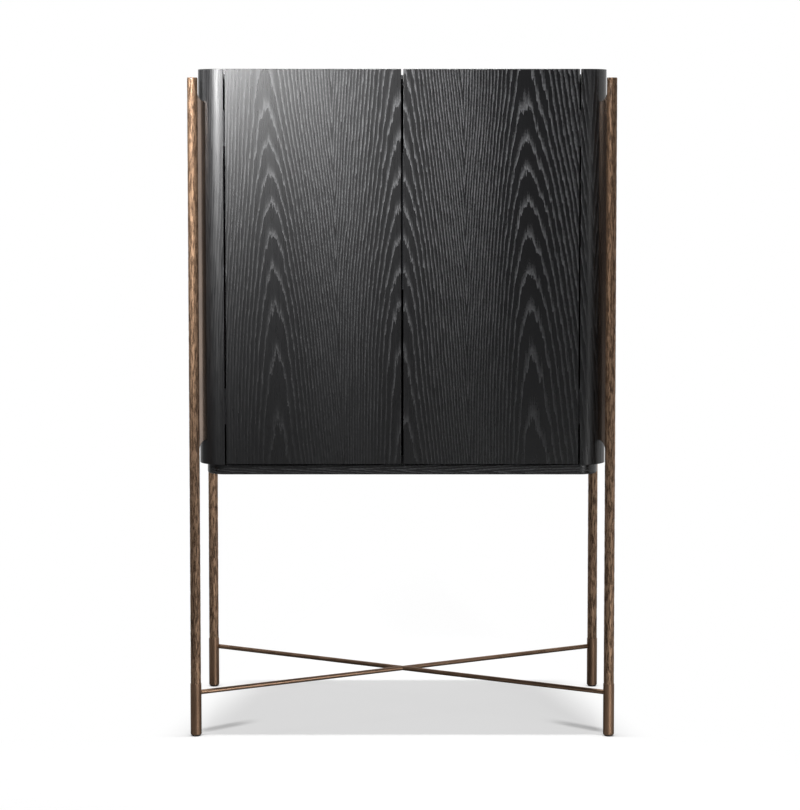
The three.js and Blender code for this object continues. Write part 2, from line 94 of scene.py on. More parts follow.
def number(name, description, default, low=0.0, high=1.0, **kind):
    """A float property, plain unless its unit or subtype is given."""
    return FloatProperty(
        name=name, description=description, default=default,
        min=low, max=high, precision=5, **kind,
    )


def length(name, description, default, high=10.0):
    """A float property in metres."""
    return number(name, description, default, high=high, unit="LENGTH")


def power(name, description, default):
    """The power of a lamp in watts."""
    return number(name, description, default, high=5000.0, unit="POWER")


def colour(name, description, default):
    """A linear colour property."""
    return FloatVectorProperty(
        name=name, description=description, default=default,
        subtype="COLOR", size=3, min=0.0, max=1.0,
    )


class WoodSettings(PropertyGroup):
    """Sizes and colours of the stained ash boards."""

    edge_round: length("Edge round", "Rounding of the door edges", 0.0014)
    post_round: length("Post round", "Rounding of the posts' edges", 0.0007)
    inner_round: length("Inner round", "Rounding of the other board edges", 0.0008)
    slab_round: length("Slab round", "Rounding of the base slab's edges", 0.0045)
    slab_radius: length("Slab radius", "Radius of the base slab's round corners", 0.045)
    corner_radius: length("Corner radius", "Radius of the round corner posts", 0.055)
    relief: length("Post relief", "Depth behind the posts' upper inner edges", 0.0045)
    leaf_width: length("Leaf width", "Width of one veneer leaf", 0.3)
    arch_start: length("Arch start", "Height from which the arches are counted", 0.746)
    arch_rate: number("Arch rate", "Arches for each metre up the leaf", 7.0, high=99.0)
    arch_extra: number("Extra arches", "Arches added in the upper half", 3.1, high=99.0)
    ring_rate: number("Ring rate", "Rings for each metre across the leaf", 180.0, high=999.0)
    ring_ease: number("Ring ease", "Rings lost for each metre in the last leaf", 65.0, high=999.0)
    ring_core: length("Ring core", "Half width of the pointed arches", 0.075)
    dark: colour("Dark wood", "Dense late wood", (0.0045, 0.0045, 0.005))
    light: colour("Open grain", "Porous early wood", (0.076, 0.077, 0.081))
    inner_dark: colour("Inner dark wood", "Dense wood inside", (0.012, 0.012, 0.0125))
    inner_light: colour("Inner open grain", "Porous wood inside", (0.05, 0.05, 0.052))


class BronzeSettings(PropertyGroup):
    """Sizes and colours of the bronze legs, rods and brackets."""

    relief: length("Relief", "Depth of the bark relief of the legs", 0.00055)
    leg_seat: length("Leg seat", "How far a leg goes into its foot", 0.004)
    leg_seed: number("Leg seed", "Keeps the bark of the legs apart", 7.3, high=99.0)
    leg_rows: IntProperty(name="Leg rows", description="Rings of each leg", default=620)
    leg_sides: IntProperty(name="Leg sides", description="Faces round each leg", default=72)
    rod_flare: number("Rod flare", "Swelling of a rod at its welds", 0.45)
    flare_length: length("Flare length", "Length of that swelling", 0.0035)
    foot_round: length("Foot round", "Rounding of the feet's lower edges", 0.003)
    bracket_flare: length("Bracket flare", "Radius of the brackets' hollow ends", 0.021)
    bracket_thickness: length("Bracket thickness", "Thickness of the brackets", 0.01)
    bracket_round: length("Bracket round", "Rounding of the bracket edges", 0.0016)
    small_round: length("Small round", "Rounding of small bronze parts", 0.0006)
    light: colour("Light bronze", "Raised and rubbed bronze", (0.41, 0.265, 0.17))
    dark: colour("Dark bronze", "Bronze in the creases", (0.06, 0.035, 0.021))
    smooth: colour("Smooth bronze", "Satin bronze", (0.34, 0.215, 0.14))


class FittingSettings(PropertyGroup):
    """Sizes and colours of hinges, screws, mirror and glides."""

    catch_round: length("Catch round", "Rounding of the magnetic catches", 0.00036)
    screw_radius: length("Screw radius", "Radius of a screw head", 0.0028)
    screw_rise: length("Screw rise", "Height of a screw head", 0.0006)
    steel: colour("Steel", "Black painted steel", (0.01, 0.01, 0.011))
    mirror: colour("Mirror", "Smoked mirror", (0.55, 0.56, 0.58))
    nylon: colour("Nylon", "Black nylon", (0.02, 0.02, 0.02))


class StageSettings(PropertyGroup):
    """Camera, floor and lamps."""

    camera_place: FloatVectorProperty(
        name="Camera place", description="Where the camera stands",
        default=(0.0198, -5.2152, 1.3948), subtype="TRANSLATION", unit="LENGTH",
    )
    camera_pitch: number(
        "Camera pitch", "How far the camera looks down", 0.06, subtype="ANGLE", unit="ROTATION"
    )
    lens: number("Lens", "Focal length", 96.21, high=500.0, unit="CAMERA")
    shift_x: number("Shift x", "Sideways shift of the lens", -0.01339, low=-1.0)
    shift_y: number("Shift y", "Upward shift of the lens", -0.16509, low=-1.0)
    floor_size: length("Floor size", "Width of the floor", 30.0, high=100.0)
    floor: colour("Floor", "Colour of the floor", (0.9, 0.9, 0.9))
    bounce: colour("Floor bounce", "Floor as the object sees it", (0.26, 0.26, 0.26))
    room: colour("Room", "Light of the room in front", (0.06, 0.06, 0.062))
    key: power("Key lamp", "Power of the lamp in front on the left", 18.5)
    fill: power("Fill lamp", "Power of the lamp in front on the right", 7.0)
    low: power("Low lamp", "Power of the low lamp in front on the right", 3.5)
    edge: power("Edge lamp", "Power of the lamp on the left", 10.0)
    top: power("Top lamp", "Power of the lamp above", 1400.0)


# Node trees


class Value:
    """One node output. Arithmetic on it adds Math nodes to its tree."""

    def __init__(self, tree, socket):
        self.tree = tree
        self.socket = socket

    def math(self, operation, *operands):
        return self.tree.node(
            "ShaderNodeMath", dict(enumerate(operands)), operation=operation
        )

    def __add__(self, other):
        return self.math("ADD", self, other)

    __radd__ = __add__

    def __sub__(self, other):
        return self.math("SUBTRACT", self, other)

    def __rsub__(self, other):
        return self.math("SUBTRACT", other, self)

    def __mul__(self, other):
        return self.math("MULTIPLY", self, other)

    __rmul__ = __mul__

    def __truediv__(self, other):
        return self.math("DIVIDE", self, other)

    def __rtruediv__(self, other):
        return self.math("DIVIDE", other, self)

    def __abs__(self):
        return self.math("ABSOLUTE", self)

    def fraction(self):
        return self.math("FRACT", self)

    def rounded(self):
        return self.math("ROUND", self)

    def root(self):
        return self.math("SQRT", self)

    def exponential(self):
        return self.math("EXPONENT", self)

    def at_least(self, floor):
        return self.math("MAXIMUM", self, floor)

    def at_most(self, ceiling):
        return self.math("MINIMUM", self, ceiling)

    def eased(self, low, high):
        """Runs smoothly from 0 at low to 1 at high."""
        sockets = {"Value": self, "From Min": low, "From Max": high}
        return self.tree.node(
            "ShaderNodeMapRange", sockets, interpolation_type="SMOOTHSTEP"
        )


class Tree:
    """A node tree of a material, of the world or of Geometry Nodes."""

    def __init__(self, tree):
        self.tree = tree
        tree.nodes.clear()

    def node(self, kind, sockets=None, out=0, **settings):
        """Makes a node: its settings first, then the values or links of its sockets."""
        node = self.tree.nodes.new(kind)
        stops = settings.pop("stops", ())
        for key, value in settings.items():
            setattr(node, key, value)
        for index, (place, grey) in enumerate(stops):
            elements = node.color_ramp.elements
            stop = elements[index] if index < 2 else elements.new(place)
            stop.position = place
            stop.color = (grey, grey, grey, 1.0)
        for key, value in (sockets or {}).items():
            socket = node.inputs[key]
            if isinstance(value, Value):
                self.tree.links.new(value.socket, socket)
            else:
                socket.default_value = value
        if isinstance(out, tuple):
            return tuple(Value(self, node.outputs[key]) for key in out)
        return Value(self, node.outputs[out]) if node.outputs else None

    def vector(self, x, y, z):
        return self.node("ShaderNodeCombineXYZ", {0: x, 1: y, 2: z})

    def split(self, vector):
        """The x, y and z of a vector."""
        return self.node("ShaderNodeSeparateXYZ", {0: vector}, out=(0, 1, 2))

    def place(self):
        """Where a point lies on its piece, in Object coordinates."""
        return self.node("ShaderNodeTexCoord", out="Object")

    def noise(self, x, y, z, detail=2.0, roughness=0.5):
        """Noise from 0 to 1 at a point whose coordinates are already scaled."""
        sockets = {
            "Vector": self.vector(x, y, z), "Scale": 1.0,
            "Detail": detail, "Roughness": roughness,
        }
        return self.node("ShaderNodeTexNoise", sockets)

    def blend(self, factor, first, second):
        """A colour between two colours, through the Mix node's sockets for colours."""
        sockets = {0: factor, 6: first, 7: second}
        return self.node("ShaderNodeMix", sockets, out=2, data_type="RGBA")

    def bump(self, height, distance, strength):
        sockets = {"Strength": strength, "Distance": distance, "Height": height}
        return self.node("ShaderNodeBump", sockets)

    def surface(self, **sockets):
        """Ends a material in a Principled shader."""
        named = {key.replace("_", " "): value for key, value in sockets.items()}
        shader = self.node("ShaderNodeBsdfPrincipled", named)
        self.node("ShaderNodeOutputMaterial", {"Surface": shader})


class Recipe(Tree):
    """A Geometry Nodes tree with named inputs that is baked into plain meshes."""

    def __init__(self, name, **inputs):
        group = bpy.data.node_groups.new(name, "GeometryNodeTree")
        super().__init__(group)
        for label, kind in inputs.items():
            group.interface.new_socket(label, in_out="INPUT", socket_type=f"NodeSocket{kind}")
        group.interface.new_socket(
            "Geometry", in_out="OUTPUT", socket_type="NodeSocketGeometry"
        )
        source = group.nodes.new("NodeGroupInput")
        self.inputs = {key: Value(self, source.outputs[key]) for key in inputs}

    def line(self, start, end, count):
        """A straight curve of evenly spaced points."""
        line = self.node("GeometryNodeCurvePrimitiveLine", {"Start": start, "End": end})
        return self.node("GeometryNodeResampleCurve", {"Curve": line, "Count": count})

    def tube(self, curve, sides, radius):
        """A round tube with closed ends along a curve."""
        profile = self.node(
            "GeometryNodeCurvePrimitiveCircle", {"Resolution": sides, "Radius": radius}
        )
        return self.node("GeometryNodeCurveToMesh", {
            "Curve": curve, "Profile Curve": profile, "Fill Caps": True,
        })

    def close(self, geometry):
        """Ends the tree with plain faces in the piece's material."""
        real = self.node("GeometryNodeRealizeInstances", {0: geometry})
        painted = self.node(
            "GeometryNodeSetMaterial", {"Geometry": real, "Material": self.inputs["material"]}
        )
        self.node("NodeGroupOutput", {0: painted})

    def bake(self, name, **values):
        """A new object that holds the tree's result for these input values."""
        host = bpy.data.objects.new(name, bpy.data.meshes.new(name))
        bpy.context.scene.collection.objects.link(host)
        modifier = host.modifiers.new(name, "NODES")
        modifier.node_group = self.tree
        for item in self.tree.interface.items_tree:
            if item.in_out == "INPUT":
                modifier[item.identifier] = values[item.name]
        keep_result(host)
        return host


def keep_result(obj):
    """Turns what the modifiers make of an object into its own mesh."""
    depsgraph = bpy.context.evaluated_depsgraph_get()
    depsgraph.update()
    mesh = bpy.data.meshes.new_from_object(
        obj.evaluated_get(depsgraph), preserve_all_data_layers=True, depsgraph=depsgraph
    )
    obj.modifiers.clear()
    obj.data = mesh
    mesh.name = obj.name


# Finishes


def rgba(values):
    return (*values, 1.0)


def times(values, factor):
    """A colour made lighter or darker."""
    return rgba(channel * factor for channel in values)


def ash(tree, dark, light, contrast, matt):
    """Black stained ash: flat sawn leaves whose rings open into long arches, with painted light
    that makes the open grain lighter higher up.
    """
    wood = bpy.context.scene.cabinet_wood
    across, along, _ = tree.split(tree.node("ShaderNodeUVMap", uv_map=GRAIN_MAP))
    facing_up = tree.node("ShaderNodeAttribute", out="Fac", attribute_name=UPWARD_MAP)
    wander = tree.noise(across * 3.2, along * 1.7, 0.7, detail=1.0) - 0.5
    lean = (along - 1.1) * 0.03
    leaf = across + wander * 0.03 + lean
    offset = leaf - (leaf / wood.leaf_width).rounded() * wood.leaf_width
    spread = (offset * offset + wood.ring_core ** 2).root() - wood.ring_core
    arches = (along - wood.arch_start) * wood.arch_rate
    arches = arches + along.eased(0.9, 1.6) * wood.arch_extra
    drift = tree.noise(across * 9.0, along * 2.6, 3.1) - 0.5
    saw = tree.noise(across * 360.0, along * 11.0, 5.3, detail=1.0) - 0.5
    step = tree.noise(across * 120.0, along * 16.0, 8.9, detail=1.0) - 0.5
    rate = wood.ring_rate - across.eased(0.29, 0.34) * wood.ring_ease
    rings = spread * rate + arches + drift * 0.8 + saw * 0.44 + step * 0.46
    wide = abs(offset).eased(0.03, 0.12) * 0.75 + 1.0
    band = tree.node(
        "ShaderNodeValToRGB", {0: rings.fraction() / wide},
        stops=((0.0, 1.0), (0.1, 0.95), (0.16, 0.42), (0.3, 0.1), (0.44, 0.0), (1.0, 0.0)),
    )
    pores = tree.noise(across * 330.0, along * 170.0, 1.9).eased(0.38, 0.6)
    fibre = tree.noise(across * 480.0, along * 16.0, 4.4, detail=1.0)
    cloud = tree.noise(across * 5.0, along * 3.0, 6.2, detail=3.0)
    open_grain = band * (pores * 0.65 + 0.35)
    on_post = abs(across).eased(0.41, 0.43)
    bold = (across.eased(-0.42, 0.15) * 0.72 + 0.28) * (1.0 - on_post * 0.5)
    # Painted light: rise makes the open grain lighter towards the top and dimmer towards the
    # bottom, standing in for the key lamp's falloff
    rise = along.eased(0.6, 1.45) * 0.65 + 0.35
    tone = open_grain * bold * rise * contrast + fibre * 0.06 + cloud * 0.05 - 0.045
    open_matt = open_grain * (bold * 0.25 + 0.14) + fibre * 0.04
    post_matt = abs(across).eased(0.415, 0.43) * (saw * 0.22 + step * 0.18 + 0.06)
    right_gloss = across.eased(0.0, 0.25) * 0.034
    top_matt = facing_up.eased(0.9, 1.0) * 0.34
    tree.surface(
        Base_Color=tree.blend(tone.at_least(0.0).at_most(1.0), rgba(dark), rgba(light)),
        Roughness=open_matt + post_matt - right_gloss + top_matt + matt,
        Normal=tree.bump(open_grain * -1.0 + fibre * 0.15, distance=0.00005, strength=0.8),
    )


def bark_bronze(tree):
    """Cast bronze with rubbed ridges and dark creases that run up the leg, and painted light that
    makes it lighter low on the leg and darker high up.
    """
    bronze = bpy.context.scene.cabinet_bronze
    x, y, z = tree.split(tree.place())
    streak = tree.noise(x * 270.0, y * 270.0, z * 38.0, detail=4.0, roughness=0.62)
    fleck = tree.noise(x * 1000.0, y * 1000.0, z * 260.0)
    patch = tree.noise(x * 20.0, y * 20.0, z * 7.0)
    rubbed = streak.eased(0.4, 0.6) * 0.66 + fleck.eased(0.4, 0.66) * 0.26 + patch * 0.14
    # Painted light and shade: the bronze is lighter low on the leg and darker high up, and from
    # here on rubbed holds this painted light as well as the wear
    painted_light_and_shade_by_height = 1.3 - z.eased(0.4, 1.4) * 0.65
    rubbed = rubbed * painted_light_and_shade_by_height
    tree.surface(
        Base_Color=tree.blend(rubbed.at_most(1.0), rgba(bronze.dark), rgba(bronze.light)),
        Metallic=1.0,
        Roughness=0.78 - rubbed * 0.26,
        Coat_Weight=0.12,
        Coat_Roughness=0.24,
        Coat_IOR=1.6,
        Normal=tree.bump(streak * 0.7 + fleck * 0.3, distance=0.0009, strength=0.9),
    )


def satin_bronze(tree):
    """Smooth bronze with a soft patina and faint polishing marks, lacquered higher up."""
    bronze = bpy.context.scene.cabinet_bronze
    x, y, z = tree.split(tree.place())
    patina = tree.noise(x * 26.0, y * 26.0, z * 9.0, detail=3.0)
    marks = tree.noise(x * 1300.0, y * 1300.0, z * 60.0, detail=1.0)
    lacquer = z.eased(*LACQUER_RISE)
    shade = patina.eased(0.25, 0.75) * 0.3 + marks * 0.16 + lacquer * 0.25
    tree.surface(
        Base_Color=tree.blend(shade, rgba(bronze.smooth), rgba(bronze.dark)),
        Metallic=1.0,
        Roughness=patina * 0.1 + marks * 0.06 + 0.36 - lacquer * 0.23,
        Coat_Weight=lacquer * 0.9,
        Coat_Roughness=0.12,
        Coat_IOR=2.1,
        Normal=tree.bump(marks, distance=0.00004, strength=0.6),
    )


def painted_steel(tree):
    """Black paint with a fine orange peel."""
    fitting = bpy.context.scene.cabinet_fitting
    x, y, z = tree.split(tree.place())
    peel = tree.noise(x * 900.0, y * 900.0, z * 900.0)
    worn = tree.noise(x * 90.0, y * 90.0, z * 90.0, detail=3.0)
    bare = times(fitting.steel, 2.6)
    tree.surface(
        Base_Color=tree.blend(worn.eased(0.45, 0.8), rgba(fitting.steel), bare),
        Metallic=0.4,
        Roughness=peel * 0.16 + 0.32,
        Normal=tree.bump(peel, distance=0.00005, strength=0.5),
    )


def smoked_mirror(tree):
    """A smoked mirror with barely uneven silver."""
    fitting = bpy.context.scene.cabinet_fitting
    x, y, z = tree.split(tree.place())
    haze = tree.noise(x * 6.0, y * 6.0, z * 6.0, detail=4.0)
    dim = times(fitting.mirror, 0.86)
    tree.surface(
        Base_Color=tree.blend(haze, rgba(fitting.mirror), dim),
        Metallic=1.0,
        Roughness=haze * 0.04 + 0.015,
    )


def grained_nylon(tree):
    """Black nylon with a moulded grain."""
    fitting = bpy.context.scene.cabinet_fitting
    x, y, z = tree.split(tree.place())
    grain = tree.noise(x * 1600.0, y * 1600.0, z * 1600.0)
    scuff = tree.noise(x * 240.0, y * 240.0, z * 240.0)
    worn = times(fitting.nylon, 2.2)
    tree.surface(
        Base_Color=tree.blend(scuff.eased(0.4, 0.8), rgba(fitting.nylon), worn),
        Roughness=grain * 0.2 + 0.45,
        Normal=tree.bump(grain, distance=0.00008, strength=0.6),
    )


def outer_ash(tree):
    wood = bpy.context.scene.cabinet_wood
    ash(tree, wood.dark, wood.light, contrast=1.0, matt=0.258)


def inner_ash(tree):
    wood = bpy.context.scene.cabinet_wood
    ash(tree, wood.inner_dark, wood.inner_light, contrast=0.8, matt=0.48)


FINISHES = {
    "stained_ash": outer_ash,
    "inner_ash": inner_ash,
    "rough_bronze": bark_bronze,
    "smooth_bronze": satin_bronze,
    "dark_steel": painted_steel,
    "mirror_glass": smoked_mirror,
    "nylon": grained_nylon,
}


def finish(slot):
    """The material of a slot, made at its first use."""
    material = bpy.data.materials.get(f"finish_{slot}")
    if material is None:
        material = bpy.data.materials.new(f"finish_{slot}")
        material.use_nodes = True
        FINISHES[slot](Tree(material.node_tree))
    return material


# Shapes


def block(low, high):
    """A box between two corners."""
    shell = bmesh.new()
    bmesh.ops.create_cube(shell, size=1.0)
    for vertex in shell.verts:
        vertex.co = Vector(
            low[axis] + (high[axis] - low[axis]) * (vertex.co[axis] + 0.5)
            for axis in range(3)
        )
    return shell


def arc(centre, radius, start, end, steps):
    """Points of an arc from one angle to another."""
    angles = [start + (end - start) * step / steps for step in range(steps + 1)]
    return [
        (centre[0] + radius * math.cos(angle), centre[1] + radius * math.sin(angle))
        for angle in angles
    ]


def walls(levels):
    """A shell with open ends through rings of points, and its rings of vertices."""
    shell = bmesh.new()
    rings = [[shell.verts.new(point) for point in level] for level in levels]
    for lower, upper in zip(rings, rings[1:]):
        for index in range(len(lower)):
            after = (index + 1) % len(lower)
            shell.faces.new((lower[index], lower[after], upper[after], upper[index]))
    return shell, rings


def loft(levels):
    """A shell through rings of points, closed by a flat face at each end."""
    shell, rings = walls(levels)
    shell.faces.new(rings[0])
    shell.faces.new(rings[-1])
    return shell


def prism(outline, bottom, top):
    """An outline of x and y, raised from bottom to top."""
    return loft([[(x, y, height) for x, y in outline] for height in (bottom, top)])


def lathe(profile, sides, centre):
    """A profile of radius and height, turned round an upright axis; both ends lie on it."""
    shell, rings = walls([
        [(x, y, height) for x, y in arc(centre, radius, 0.0, 2 * math.pi, sides)[:-1]]
        for radius, height in profile[1:-1]
    ])
    for (_, height), ring in ((profile[0], rings[0]), (profile[-1], rings[-1])):
        pole = shell.verts.new((centre[0], centre[1], height))
        for side in range(sides):
            shell.faces.new((pole, ring[side], ring[(side + 1) % sides]))
    return shell


def joined(shell):
    """Merges a shell's doubles and joins its flat faces."""
    bmesh.ops.remove_doubles(shell, verts=shell.verts, dist=WELD)
    bmesh.ops.dissolve_limit(
        shell, angle_limit=FLAT_ANGLE, verts=shell.verts, edges=shell.edges
    )
    return shell


def merged(node):
    """A copy of a CAD node with its doubles merged and its flat faces joined."""
    shell = bmesh.new()
    shell.from_mesh(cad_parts[node].data)
    return joined(shell)


def upright_grain(point, normal):
    """Where a point lies across and along a grain that runs up a board."""
    if abs(normal.z) > FACING:
        return point.x, point.y + END_START
    return (point.x if abs(normal.y) > abs(normal.x) else point.y + EDGE_START), point.z


def level_grain(point, normal):
    """Grain that runs from side to side along a board."""
    if abs(normal.x) > FACING:
        return point.y, point.z
    level = abs(normal.z) > abs(normal.y)
    return (point.y if level else point.z - LEVEL_EDGE_START), point.x + LEVEL_START


def corner_grain(point, normal):
    """Grain that runs up a corner post and follows its round face."""
    radius = bpy.context.scene.cabinet_wood.corner_radius
    if abs(normal.z) > FACING:
        return point.x, point.y + END_START
    low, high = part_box("corner_post_front_right")
    centre = Vector((high.x - radius, -low.y - radius))
    away = Vector((abs(point.x), abs(point.y))) - centre
    side = math.copysign(1.0, point.x)
    if away.x > 0 and away.y > 0:
        turn = QUARTER - math.atan2(away.y, away.x)
        return side * (centre.x + radius * turn), point.z
    if abs(normal.y) > abs(normal.x):
        return point.x, point.z
    return side * (centre.x + radius * QUARTER - away.y), point.z


def lay_grain(mesh, rule):
    """Writes how far each face looks up, and where it lies in the wood, into its own maps."""
    upward = mesh.attributes.new(UPWARD_MAP, "FLOAT", "FACE")
    upward.data.foreach_set("value", [face.normal.z for face in mesh.polygons])
    layer = mesh.uv_layers.new(name=GRAIN_MAP)
    for face in mesh.polygons:
        for loop in face.loop_indices:
            point = mesh.vertices[mesh.loops[loop].vertex_index].co
            layer.data[loop].uv = rule(point, face.normal)


def settle(obj, slot, body, *nodes):
    """Gives a finished piece its body and hides the nodes that it stands for; its slot is not
    used.
    """
    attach(obj, body)
    if nodes:
        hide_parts(*nodes)


def piece(name, shell, slot, body, nodes, rounding=0.0, grain=None, segments=3):
    """A finished piece from a shell, with rounded edges."""
    bmesh.ops.recalc_face_normals(shell, faces=shell.faces)
    mesh = bpy.data.meshes.new(name)
    shell.to_mesh(mesh)
    shell.free()
    obj = bpy.data.objects.new(name, mesh)
    bpy.context.scene.collection.objects.link(obj)
    mesh.polygons.foreach_set("use_smooth", [True] * len(mesh.polygons))
    if rounding:
        bevel = obj.modifiers.new("Round", "BEVEL")
        bevel.width = rounding
        bevel.segments = segments
        bevel.limit_method = "ANGLE"
        bevel.angle_limit = ROUND_ANGLE
    weighted = obj.modifiers.new("Shade", "WEIGHTED_NORMAL")
    weighted.keep_sharp = True
    keep_result(obj)
    if grain:
        lay_grain(obj.data, grain)
    obj.data.materials.clear()
    obj.data.materials.append(finish(slot))
    settle(obj, slot, body, *nodes)


def repaint(node, slot):
    """Gives a CAD node that keeps its shape its finish."""
    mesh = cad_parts[node].data
    mesh.materials.clear()
    mesh.materials.append(finish(slot))


# Recipes


def leg_recipe():
    """A round leg whose wall sinks into creases like bark."""
    recipe = Recipe(
        "bark leg", axis="Vector", bottom="Float", top="Float", radius="Float",
        relief="Float", seed="Float", rows="Int", sides="Int", material="Material",
    )
    given = recipe.inputs
    bottom = recipe.vector(0.0, 0.0, given["bottom"])
    top = recipe.vector(0.0, 0.0, given["top"])
    rings = recipe.line(bottom, top, given["rows"])
    tube = recipe.tube(rings, given["sides"], given["radius"])
    x, y, z = recipe.split(recipe.node("GeometryNodeInputPosition"))
    seed = given["seed"]
    coarse = recipe.noise(x * 270.0 + seed, y * 270.0, z * 38.0)
    fine = recipe.noise(x * 520.0, y * 520.0 + seed, z * 120.0, detail=1.0)
    crease = 1.0 - abs(coarse - 0.5).eased(0.0, 0.11)
    round_height, round_slope = 0.0024, 0.25
    rounding = (z - given["top"] + round_height).at_least(0.0) * round_slope
    depth = given["relief"] * (crease * 0.7 + fine * 0.3) + rounding
    inward = depth * -1.0 / given["radius"]
    sunk = recipe.node("GeometryNodeSetPosition", {
        "Geometry": tube, "Offset": recipe.vector(x * inward, y * inward, 0.0),
    })
    placed = recipe.node(
        "GeometryNodeTransform", {"Geometry": sunk, "Translation": given["axis"]}
    )
    recipe.close(placed)
    return recipe


def rod_recipe():
    """A round rod between two points that swells where it is welded."""
    recipe = Recipe(
        "welded rod", start="Vector", end="Vector", radius="Float",
        flare="Float", flare_length="Float", material="Material",
    )
    given = recipe.inputs
    rings = recipe.line(given["start"], given["end"], count=420)
    run = recipe.node("GeometryNodeSplineParameter", out="Length")
    whole = recipe.node(
        "ShaderNodeVectorMath", {0: given["start"], 1: given["end"]},
        out="Value", operation="DISTANCE",
    )
    near = run.at_most(whole - run) / given["flare_length"]
    swell = (near * -1.0).exponential() * given["flare"] + 1.0
    swollen = recipe.node(
        "GeometryNodeSetCurveRadius", {"Curve": rings, "Radius": swell}
    )
    recipe.close(recipe.tube(swollen, sides=32, radius=given["radius"]))
    return recipe


def screw_recipe():
    """A row of low domed screw heads with a cross recess."""
    recipe = Recipe(
        "screw row", start="Vector", step="Vector", count="Int", turn="Vector",
        radius="Float", rise="Float", material="Material",
    )
    given = recipe.inputs
    radius = given["radius"]
    ball = recipe.node(
        "GeometryNodeMeshUVSphere", {"Segments": 24, "Rings": 12, "Radius": 1.0}
    )
    head = recipe.node("GeometryNodeTransform", {
        "Geometry": ball, "Scale": recipe.vector(radius, radius, given["rise"]),
    })
    bar_length, bar_width = radius * 1.1, radius * 0.22
    for wide, deep in ((bar_length, bar_width), (bar_width, bar_length)):
        size = recipe.vector(wide, deep, given["rise"])
        bar = recipe.node("GeometryNodeMeshCube", {"Size": size})
        cut = recipe.node("GeometryNodeTransform", {
            "Geometry": bar, "Translation": recipe.vector(0.0, 0.0, given["rise"]),
        })
        head = recipe.node("GeometryNodeMeshBoolean", {0: head, 1: cut}, operation="DIFFERENCE")
    row = recipe.node("GeometryNodeMeshLine", {
        "Count": given["count"], "Start Location": given["start"], "Offset": given["step"],
    })
    screws = recipe.node("GeometryNodeInstanceOnPoints", {
        "Points": row, "Instance": head, "Rotation": given["turn"],
    })
    recipe.close(screws)
    return recipe


# Operators


class CABINET_OT_case(Operator):
    """Builds the posts, panels, base slab and boards of the case"""

    bl_idname = "cabinet.case"
    bl_label = "Case"

    def execute(self, context):
        wood = context.scene.cabinet_wood
        for corner, toward, out in CORNERS:
            node = f"corner_post_{corner}"
            piece(
                f"post_{corner}", post_shell(*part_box(node), out, toward),
                "stained_ash", "root", [node], wood.post_round, corner_grain,
            )
        for side in SIDES:
            self.board(f"side_panel_{side}", "stained_ash", upright_grain)
            self.board(f"inner_side_{side}", "inner_ash", upright_grain)
        self.board("back_panel", "stained_ash", upright_grain)
        self.board("middle_shelf", "inner_ash", level_grain)
        self.board("upper_shelf", "inner_ash", level_grain)
        for node, slot in (("floor_panel", "inner_ash"), ("top_panel", "stained_ash")):
            piece(
                f"{node}_board", merged(node), slot, "root", [node],
                wood.inner_round, level_grain,
            )
        low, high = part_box("base_slab")
        piece(
            "slab", prism(slab_outline(low, high, wood.slab_radius), low.z, high.z),
            "stained_ash", "root", ["base_slab"], wood.slab_round, level_grain, segments=4,
        )
        return {"FINISHED"}

    def board(self, node, slot, grain):
        """A plain board in the place of a node."""
        rounding = bpy.context.scene.cabinet_wood.inner_round
        piece(f"{node}_board", block(*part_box(node)), slot, "root", [node], rounding, grain)


def post_shell(low, high, out, toward):
    """A corner post with a round outer corner; a front post is relieved above the top."""
    wood = bpy.context.scene.cabinet_wood
    radius = wood.corner_radius
    inner_x, outer_x = sorted((abs(low.x), abs(high.x)))
    inner_y, outer_y = sorted((abs(low.y), abs(high.y)))
    door_back = abs(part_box("door_right")[1].y)
    relief_x = inner_x + (wood.relief if toward < 0 else 0.0)
    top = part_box("top_panel")[1].z
    middle = (outer_x - radius, outer_y - radius)
    levels = []
    for height, back_x in ((low.z, inner_x), (top, inner_x), (top, relief_x), (high.z, relief_x)):
        outline = [(back_x, door_back), (back_x, inner_y), (outer_x, inner_y)]
        outline += arc(middle, radius, 0.0, QUARTER, steps=28)
        outline += [(inner_x, outer_y), (inner_x, door_back)]
        levels.append([(out * x, toward * y, height) for x, y in outline])
    return joined(loft(levels))


def slab_outline(low, high, radius):
    """The base slab seen from above, with four round corners."""
    x = high.x - radius
    y = high.y - radius
    outline = []
    for turn, corner in enumerate(((x, y), (-x, y), (-x, -y), (x, -y))):
        outline += arc(corner, radius, turn * QUARTER, (turn + 1) * QUARTER, steps=24)
    return outline


class CABINET_OT_doors(Operator):
    """Builds the two doors"""

    bl_idname = "cabinet.doors"
    bl_label = "Doors"

    def execute(self, context):
        wood = context.scene.cabinet_wood
        for side in SIDES:
            node = f"door_{side}"
            piece(
                f"door_board_{side}", block(*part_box(node)), "stained_ash", node, [node],
                wood.edge_round, upright_grain, segments=4,
            )
        return {"FINISHED"}


class CABINET_OT_fold_shelf(Operator):
    """Builds the fold out shelf and its ledge, and paints its hinge and its bracket"""

    bl_idname = "cabinet.fold_shelf"
    bl_label = "Fold Out Shelf"

    def execute(self, context):
        wood = context.scene.cabinet_wood
        bronze = context.scene.cabinet_bronze
        for node, body in (("fold_shelf", "fold_shelf"), ("shelf_ledge", "door_right")):
            piece(
                f"{node}_board", merged(node), "stained_ash", body, [node],
                wood.inner_round, level_grain,
            )
        for node in (
            "shelf_hinge_fixed_leaf", "shelf_hinge_moving_leaf", "shelf_hinge_pin",
            "gate_plate", "gate_bracket",
        ):
            repaint(node, "smooth_bronze")
        repaint("gate_pin", "dark_steel")
        piece(
            "keeper_block", block(*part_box("shelf_keeper")), "dark_steel", "door_right",
            ["shelf_keeper"], bronze.small_round,
        )
        return {"FINISHED"}


